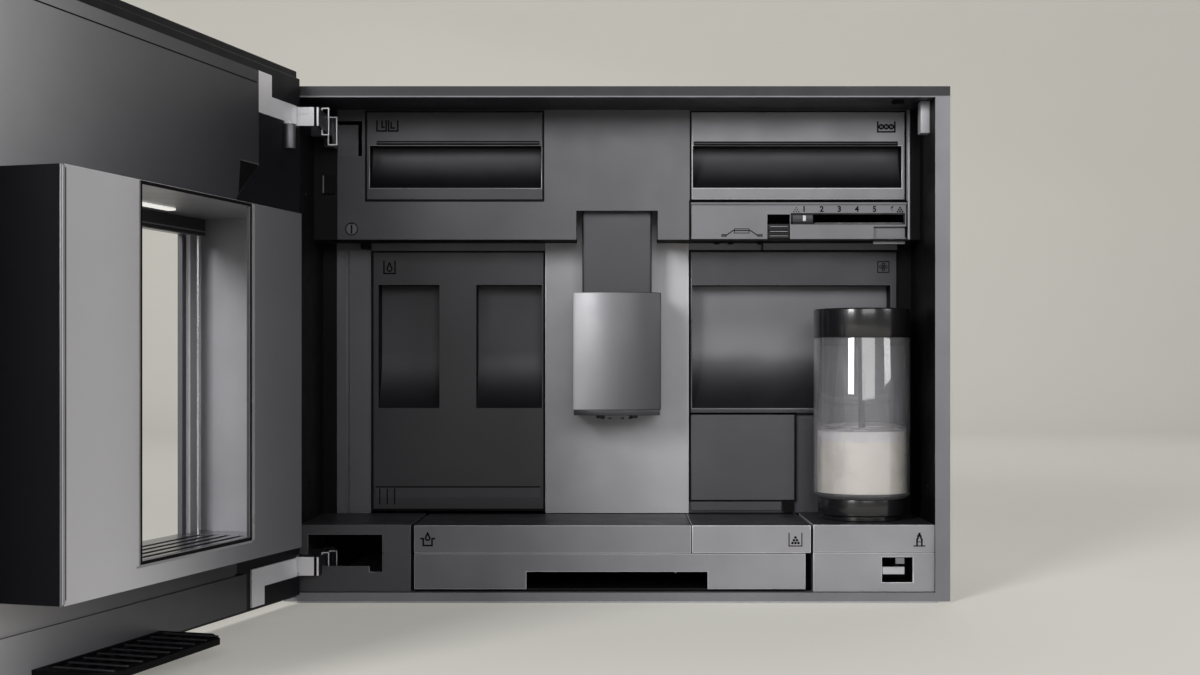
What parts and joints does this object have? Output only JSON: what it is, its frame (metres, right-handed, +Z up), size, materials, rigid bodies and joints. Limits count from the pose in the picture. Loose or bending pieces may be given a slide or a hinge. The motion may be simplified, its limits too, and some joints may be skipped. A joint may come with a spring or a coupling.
{
  "type": "built-in coffee machine",
  "caption": "Built-in coffee machine with its niche door swung open, showing drawers, water tank, height-set outlet, milk container, grinder, brew unit and drip tray.",
  "frame": {"origin": "on the underside of the base plate, centred between the sides, in the plane where the front frame bears on the cabinet", "axes": "+X to the right seen from the front, +Y into the cabinet, +Z up"},
  "size_m": [0.7322, 0.9333, 0.462],
  "materials": {
    "sheet_metal": "satin",
    "frame_metal": "satin",
    "liner_black": "matte",
    "carrier_black": "matte",
    "fascia_grey": "satin",
    "cover_dark": "satin",
    "cover_mid": "satin",
    "cover_light": "satin",
    "panel_dark": "satin",
    "port_light": "satin",
    "knob_grey": "satin",
    "clear_grey": "gloss",
    "clear_tank": "gloss",
    "module_black": "matte",
    "module_grey": "matte",
    "motor_metal": "satin",
    "heater_metal": "cast",
    "burr_steel": "brushed",
    "hose": "matte",
    "outlet_grey": "satin",
    "foot_grey": "satin",
    "jug_glass": "clear",
    "milk_white": "matte",
    "jug_lid": "satin",
    "chrome": "polished",
    "door_glass": "gloss",
    "frame_dark": "matte",
    "trim_steel": "satin",
    "inner_panel": "satin",
    "niche_grey": "satin",
    "grate_steel": "brushed",
    "lamp_white": "gloss"
  },
  "bodies": {
    "cabinet": {"base_plate": "sheet_metal", "housing_shell": "sheet_metal", "rear_panel": "sheet_metal", "front_frame": "frame_metal", "recess_liner": "liner_black", "inner_carrier": "carrier_black", "upper_fascia": "fascia_grey", "centre_column": "fascia_grey", "left_post": "cover_dark", "lower_right_panel": "liner_black", "chute_cover": "cover_light", "corner_cover": "cover_dark", "milk_bay_housing": "cover_light", "milk_port": "port_light", "setting_panel": "panel_dark", "grinder_housing": "module_black", "grinder_motor": "motor_metal", "brew_cover": "cover_light", "brew_unit_stand": "module_black", "water_pump": "motor_metal", "heater_block": "heater_metal", "valve_block": "module_grey", "pressure_hose": "hose", "mains_inlet": "module_black", "outlet_rail": "module_black", "hinge_arms": "chrome", "door_catch": "knob_grey"},
    "door": {"door_front_panel": "door_glass", "door_carrier": "frame_dark", "niche_trim": "trim_steel", "door_inner_panel": "inner_panel", "niche_box": "niche_grey", "niche_grate": "grate_steel", "niche_light": "lamp_white", "drip_tongue": "liner_black", "hinge_brackets": "chrome"},
    "storage_drawer": {"storage_drawer_front": "cover_dark", "storage_bin": "clear_grey"},
    "bean_drawer": {"bean_drawer_front": "cover_light", "bean_hopper": "clear_grey", "bean_lid": "clear_grey"},
    "water_tank": {"water_tank_front": "cover_dark", "water_tank_body": "clear_tank", "water_tank_lid": "clear_tank"},
    "coffee_outlet": {"outlet_neck": "outlet_grey", "outlet_head": "outlet_grey", "spout_base": "module_black"},
    "drip_tray_unit": {"drip_tray": "liner_black", "drip_tray_front": "cover_light", "drip_tray_cover": "cover_mid"},
    "grounds_unit": {"grounds_container": "cover_mid"},
    "milk_container": {"milk_foot": "foot_grey", "milk_glass": "jug_glass", "milk": "milk_white"},
    "milk_container_lid": {"milk_lid": "jug_lid"},
    "setting_slider": {"grind_slider": "knob_grey"},
    "panel_latch": {"thumb_latch": "knob_grey"},
    "facia_screw": {"cover_screw": "chrome"},
    "burr_drive": {"cone_burr": "burr_steel"},
    "piston_drive": {"brew_piston": "module_grey"}
  },
  "joints": [
    {"name": "door_hinge", "type": "hinge", "parent": "cabinet", "child": "door", "pos_m": [-0.2831, -0.01675, 0.2275], "axis": [0, 0, -1], "range_deg": [-105.6, 0]},
    {"name": "storage_drawer_slide", "type": "slide", "parent": "cabinet", "child": "storage_drawer", "axis": [0, -1, 0], "range_m": [0, 0.15]},
    {"name": "bean_drawer_slide", "type": "slide", "parent": "cabinet", "child": "bean_drawer", "axis": [0, -1, 0], "range_m": [0, 0.18]},
    {"name": "water_tank_slide", "type": "slide", "parent": "cabinet", "child": "water_tank", "axis": [0, -1, 0], "range_m": [0, 0.23]},
    {"name": "outlet_height_slide", "type": "slide", "parent": "cabinet", "child": "coffee_outlet", "axis": [0, 0, 1], "range_m": [-0.06, 0.042]},
    {"name": "drip_tray_slide", "type": "slide", "parent": "cabinet", "child": "drip_tray_unit", "axis": [0, -1, 0], "range_m": [0, 0.25]},
    {"name": "grounds_slide", "type": "slide", "parent": "drip_tray_unit", "child": "grounds_unit", "axis": [0, -1, 0], "range_m": [0, 0.235]},
    {"name": "milk_container_slide", "type": "slide", "parent": "cabinet", "child": "milk_container", "axis": [0, -1, 0], "range_m": [0, 0.13]},
    {"name": "milk_lid_lift", "type": "slide", "parent": "milk_container", "child": "milk_container_lid", "axis": [0, 0, 1], "range_m": [0, 0.04]},
    {"name": "grind_setting_slide", "type": "slide", "parent": "cabinet", "child": "setting_slider", "axis": [1, 0, 0], "range_m": [0, 0.08]},
    {"name": "panel_latch_slide", "type": "slide", "parent": "cabinet", "child": "panel_latch", "axis": [0, 0, 1], "range_m": [0, 0.007], "stiffness_N_per_m": 100},
    {"name": "facia_screw_turn", "type": "hinge", "parent": "cabinet", "child": "facia_screw", "pos_m": [-0.2425, 0.0635, 0.3314], "axis": [0, 1, 0], "range_deg": [0, 90]},
    {"name": "burr_spin", "type": "hinge", "parent": "cabinet", "child": "burr_drive", "pos_m": [0.15, 0.175, 0.305], "axis": [0, 0, 1], "continuous": true},
    {"name": "brew_piston_slide", "type": "slide", "parent": "cabinet", "child": "piston_drive", "axis": [0, 0, -1], "range_m": [0, 0.05]}
  ]
}
